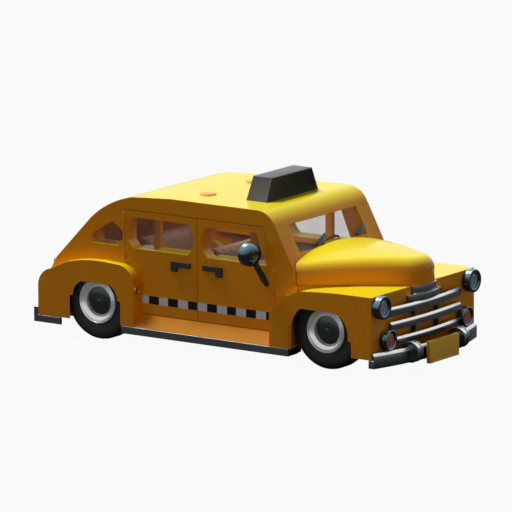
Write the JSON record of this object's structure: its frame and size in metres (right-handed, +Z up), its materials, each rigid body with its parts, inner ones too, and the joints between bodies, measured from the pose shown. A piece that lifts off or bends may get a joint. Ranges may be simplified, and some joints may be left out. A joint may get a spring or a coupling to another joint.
{
  "type": "taxi cab",
  "caption": "Slab-sided saloon taxi cab with separate fenders, a long hood, a blank roof lamp box, hinged doors and lids, and steered front wheels.",
  "frame": {"origin": "on the ground under the middle of the overall box", "axes": "+X towards the front of the car, +Y to its left, +Z up"},
  "size_m": [4.83, 2.4638, 1.913],
  "materials": {
    "body_yellow": "glossy orange-yellow paint",
    "silver": "satin silver-grey",
    "dark_steel": "dark chassis steel",
    "chrome": "bright chrome",
    "tyre": "matt black rubber",
    "glass": "tinted",
    "plate_yellow": "blank yellow plate",
    "sign_black": "blank black lamp box",
    "black_plastic": "black",
    "engine_iron": "cast iron",
    "seat_tan": "tan",
    "floor_mat": "dark floor covering",
    "lamp_lens": "bright shell with clear lens",
    "tail_red": "red lens"
  },
  "bodies": {
    "body": {"cowl": "body_yellow", "dashboard": "black_plastic", "door_hinges": "dark_steel", "engine_block": "engine_iron", "exhaust": "dark_steel", "fixed_windows": "glass", "floor_pan": "floor_mat", "frame_crossmembers": "dark_steel", "frame_rail_left": "dark_steel", "frame_rail_right": "dark_steel", "front_axle": "dark_steel", "front_bumper": "silver", "front_fenders": "body_yellow", "front_lamps": "lamp_lens", "front_seat": "seat_tan", "fuel_tank": "dark_steel", "grille": "silver", "leaf_springs": "dark_steel", "nose_panel": "body_yellow", "number_plates": "plate_yellow", "propeller_shaft": "dark_steel", "quarter_panels": "body_yellow", "rear_axle": "dark_steel", "rear_bumper": "silver", "rear_fenders": "body_yellow", "rear_seat": "seat_tan", "roof": "body_yellow", "roof_sign": "sign_black", "running_boards": "silver", "side_sills": "body_yellow", "tail_lamps": "tail_red", "tail_panel": "body_yellow", "wipers": "black_plastic"},
    "front_door_left": {"front_door_left": "body_yellow", "front_door_glass_left": "glass", "mirror_left": "chrome"},
    "front_door_right": {"front_door_right": "body_yellow", "front_door_glass_right": "glass", "mirror_right": "chrome"},
    "rear_door_left": {"rear_door_left": "body_yellow", "rear_door_glass_left": "glass"},
    "rear_door_right": {"rear_door_right": "body_yellow", "rear_door_glass_right": "glass"},
    "hood": {"hood": "body_yellow"},
    "trunk_lid": {"trunk_lid": "body_yellow"},
    "knuckle_left": {"knuckle_left": "dark_steel"},
    "knuckle_right": {"knuckle_right": "dark_steel"},
    "front_wheel_left": {"front_tyre_left": "tyre", "front_wheel_left": "chrome"},
    "front_wheel_right": {"front_tyre_right": "tyre", "front_wheel_right": "chrome"},
    "rear_wheel_left": {"rear_tyre_left": "tyre", "rear_wheel_left": "chrome"},
    "rear_wheel_right": {"rear_tyre_right": "tyre", "rear_wheel_right": "chrome"},
    "steering_wheel": {"steering_wheel": "black_plastic"},
    "tie_rod": {"tie_rod": "dark_steel"}
  },
  "joints": [
    {"name": "front_door_left_hinge", "type": "hinge", "parent": "body", "child": "front_door_left", "pos_m": [0.8, 0.894, 0.9], "axis": [0, 0, -1], "range_deg": [0, 65]},
    {"name": "front_door_right_hinge", "type": "hinge", "parent": "body", "child": "front_door_right", "pos_m": [0.8, -0.894, 0.9], "axis": [0, 0, 1], "range_deg": [0, 65]},
    {"name": "rear_door_left_hinge", "type": "hinge", "parent": "body", "child": "rear_door_left", "pos_m": [-1.183, 0.894, 0.9], "axis": [0, 0, 1], "range_deg": [0, 70]},
    {"name": "rear_door_right_hinge", "type": "hinge", "parent": "body", "child": "rear_door_right", "pos_m": [-1.183, -0.894, 0.9], "axis": [0, 0, -1], "range_deg": [0, 70]},
    {"name": "hood_hinge", "type": "hinge", "parent": "body", "child": "hood", "pos_m": [0.962, 0, 1.226], "axis": [0, -1, 0], "range_deg": [0, 50]},
    {"name": "trunk_lid_hinge", "type": "hinge", "parent": "body", "child": "trunk_lid", "pos_m": [-1.8024, 0, 1.1886], "axis": [0, 1, 0], "range_deg": [0, 75]},
    {"name": "steer_left", "type": "hinge", "parent": "body", "child": "knuckle_left", "pos_m": [1.455, 0.664, 0.427], "axis": [0, 0, 1], "range_deg": [-30, 30]},
    {"name": "steer_right", "type": "hinge", "parent": "body", "child": "knuckle_right", "pos_m": [1.455, -0.664, 0.427], "axis": [0, 0, 1], "range_deg": [-30, 30]},
    {"name": "front_wheel_left_spin", "type": "hinge", "parent": "knuckle_left", "child": "front_wheel_left", "pos_m": [1.455, 0.734, 0.427], "axis": [0, 1, 0], "continuous": true},
    {"name": "front_wheel_right_spin", "type": "hinge", "parent": "knuckle_right", "child": "front_wheel_right", "pos_m": [1.455, -0.734, 0.427], "axis": [0, 1, 0], "continuous": true},
    {"name": "rear_wheel_left_spin", "type": "hinge", "parent": "body", "child": "rear_wheel_left", "pos_m": [-1.515, 0.819, 0.427], "axis": [0, 1, 0], "continuous": true},
    {"name": "rear_wheel_right_spin", "type": "hinge", "parent": "body", "child": "rear_wheel_right", "pos_m": [-1.515, -0.819, 0.427], "axis": [0, 1, 0], "continuous": true},
    {"name": "steering_wheel_turn", "type": "hinge", "parent": "body", "child": "steering_wheel", "pos_m": [0.615, 0.37, 1.01], "axis": [-0.8492, 0, 0.5281], "range_deg": [-490, 490]},
    {"name": "tie_rod_slide", "type": "slide", "parent": "body", "child": "tie_rod", "axis": [0, 1, 0], "range_m": [-0.075, 0.075]}
  ],
  "couplings": [
    {"joint": "steer_right", "follows": "steer_left", "ratio": 1},
    {"joint": "tie_rod_slide", "follows": "steer_left", "m_per_rad": -0.134},
    {"joint": "steering_wheel_turn", "follows": "steer_left", "ratio": 16}
  ]
}
